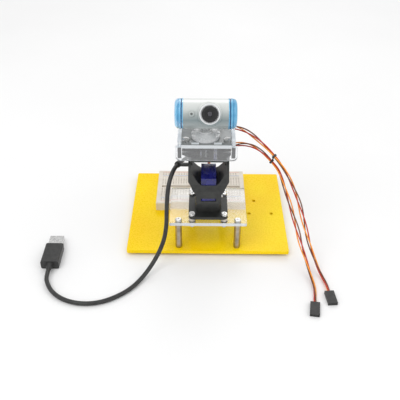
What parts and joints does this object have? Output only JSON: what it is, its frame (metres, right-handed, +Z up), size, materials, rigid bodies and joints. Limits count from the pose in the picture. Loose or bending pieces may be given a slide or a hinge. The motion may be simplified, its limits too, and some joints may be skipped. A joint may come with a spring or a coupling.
{
  "type": "pan tilt camera mount",
  "caption": "Two-servo pan and tilt bracket on a yellow acrylic base, carrying a barrel webcam in a clear cradle, with its cable and leads.",
  "frame": {"origin": "on the table, below the centre of the base plate", "axes": "+X to the right of the mount, +Y to its back, +Z up; the camera looks along -Y at rest"},
  "size_m": [0.2431, 0.1912, 0.1398],
  "materials": {
    "yellow_acrylic": "polished translucent sheet with bright cut edges",
    "clear_acrylic": "polished clear sheet",
    "clear_plastic": "clear moulded plastic",
    "white_plastic": "satin moulded plastic",
    "feet_rubber": "matte rubber",
    "standoff_metal": "brushed, slightly tarnished",
    "screw_steel": "nickel plated",
    "black_nylon": "satin moulded nylon",
    "servo_blue": "tinted translucent plastic",
    "motor_steel": "satin",
    "board_green": "solder mask",
    "gear_nylon": "moulded nylon",
    "webcam_silver": "metallic painted plastic",
    "cap_blue": "translucent moulded plastic",
    "bezel_white": "gloss",
    "focus_black": "satin, knurled",
    "lens_glass": "coated glass",
    "cable_black": "satin sheath",
    "lead_wires": "orange, red and brown wires"
  },
  "bodies": {
    "base": {"base_plate": "yellow_acrylic", "bumper_feet": "feet_rubber", "deck_plate": "clear_acrylic", "deck_standoffs": "standoff_metal", "standoff_screws": "screw_steel", "flange_spacers": "white_plastic", "flange_screws_and_nuts": "screw_steel", "pan_base": "black_nylon", "pan_horn": "white_plastic", "pan_horn_screw": "screw_steel", "pan_servo_output_gear": "gear_nylon", "breadboard": "white_plastic", "usb_cable_lower": "cable_black", "usb_plug_body": "cable_black", "usb_plug_shell": "screw_steel", "tilt_lead_lower": "lead_wires", "pan_lead_lower": "lead_wires", "tilt_lead_plug": "cable_black", "pan_lead_plug": "cable_black"},
    "yoke": {"yoke_left_half": "black_nylon", "yoke_right_half": "black_nylon", "yoke_screws": "screw_steel", "tilt_horn": "white_plastic", "tilt_servo_output_gear": "gear_nylon", "cable_ties": "black_nylon", "usb_cable_upper": "cable_black", "tilt_lead_upper": "lead_wires", "pan_lead_upper": "lead_wires", "pan_servo_case_middle": "servo_blue", "pan_servo_gear_cover": "servo_blue", "pan_servo_bottom_cover": "servo_blue", "pan_servo_motor": "motor_steel", "pan_servo_circuit_board": "board_green"},
    "tilt_head": {"tilt_frame": "black_nylon", "cradle_front_panel": "clear_acrylic", "cradle_shelf": "clear_acrylic", "cradle_sides": "clear_acrylic", "cradle_screws": "screw_steel", "webcam_foot": "clear_plastic", "tilt_servo_case_middle": "servo_blue", "tilt_servo_gear_cover": "servo_blue", "tilt_servo_bottom_cover": "servo_blue", "tilt_servo_motor": "motor_steel", "tilt_servo_circuit_board": "board_green"},
    "webcam": {"webcam_neck": "clear_plastic", "webcam_front_shell": "webcam_silver", "webcam_back_shell": "webcam_silver", "webcam_left_cap": "cap_blue", "webcam_right_cap": "cap_blue", "webcam_lens_bezel": "bezel_white", "webcam_circuit_board": "board_green", "webcam_cable_relief": "cable_black", "usb_cable_tail": "cable_black"},
    "focus_ring": {"webcam_focus_ring": "focus_black", "webcam_lens": "lens_glass"},
    "button": {"webcam_button": "webcam_silver"},
    "pan_idler": {"pan_servo_idler_gear": "gear_nylon"},
    "pan_pinion": {"pan_servo_motor_pinion": "gear_nylon"},
    "tilt_idler": {"tilt_servo_idler_gear": "gear_nylon"},
    "tilt_pinion": {"tilt_servo_motor_pinion": "gear_nylon"}
  },
  "joints": [
    {"name": "pan_joint", "type": "hinge", "parent": "base", "child": "yoke", "pos_m": [0, -0.037, 0.05], "axis": [0, 0, 1], "range_deg": [-90, 90], "deforming": ["usb_cable_lower", "tilt_lead_lower", "pan_lead_lower"]},
    {"name": "tilt_joint", "type": "hinge", "parent": "yoke", "child": "tilt_head", "pos_m": [0, -0.0346, 0.095], "axis": [-1, 0, 0], "range_deg": [-25, 50], "deforming": ["usb_cable_upper", "tilt_lead_upper"]},
    {"name": "webcam_swivel", "type": "hinge", "parent": "tilt_head", "child": "webcam", "pos_m": [-0.0028, -0.035, 0.11], "axis": [0, 0, 1], "range_deg": [-30, 30], "deforming": ["usb_cable_tail"]},
    {"name": "focus_turn", "type": "hinge", "parent": "webcam", "child": "focus_ring", "pos_m": [0.0002, -0.035, 0.125], "axis": [0, 0.891, -0.454], "range_deg": [-150, 150]},
    {"name": "button_press", "type": "slide", "parent": "webcam", "child": "button", "axis": [0, 0.891, -0.454], "range_m": [0, 0.0008], "stiffness_N_per_m": 300, "springref_m": -0.002},
    {"name": "pan_idler_turn", "type": "hinge", "parent": "yoke", "child": "pan_idler", "pos_m": [0, -0.04324, 0.057], "axis": [0, 0, 1], "range_deg": [-301, 301]},
    {"name": "pan_pinion_turn", "type": "hinge", "parent": "yoke", "child": "pan_pinion", "pos_m": [0, -0.04804, 0.057], "axis": [0, 0, 1], "range_deg": [-826, 826]},
    {"name": "tilt_idler_turn", "type": "hinge", "parent": "tilt_head", "child": "tilt_idler", "pos_m": [0.006, -0.02836, 0.095], "axis": [-1, 0, 0], "range_deg": [-84, 167]},
    {"name": "tilt_pinion_turn", "type": "hinge", "parent": "tilt_head", "child": "tilt_pinion", "pos_m": [0.006, -0.02356, 0.095], "axis": [-1, 0, 0], "range_deg": [-459, 230]}
  ],
  "couplings": [
    {"joint": "pan_idler_turn", "follows": "pan_joint", "ratio": 3.3333},
    {"joint": "pan_pinion_turn", "follows": "pan_joint", "ratio": -9.1667},
    {"joint": "tilt_idler_turn", "follows": "tilt_joint", "ratio": 3.3333},
    {"joint": "tilt_pinion_turn", "follows": "tilt_joint", "ratio": -9.1667}
  ]
}
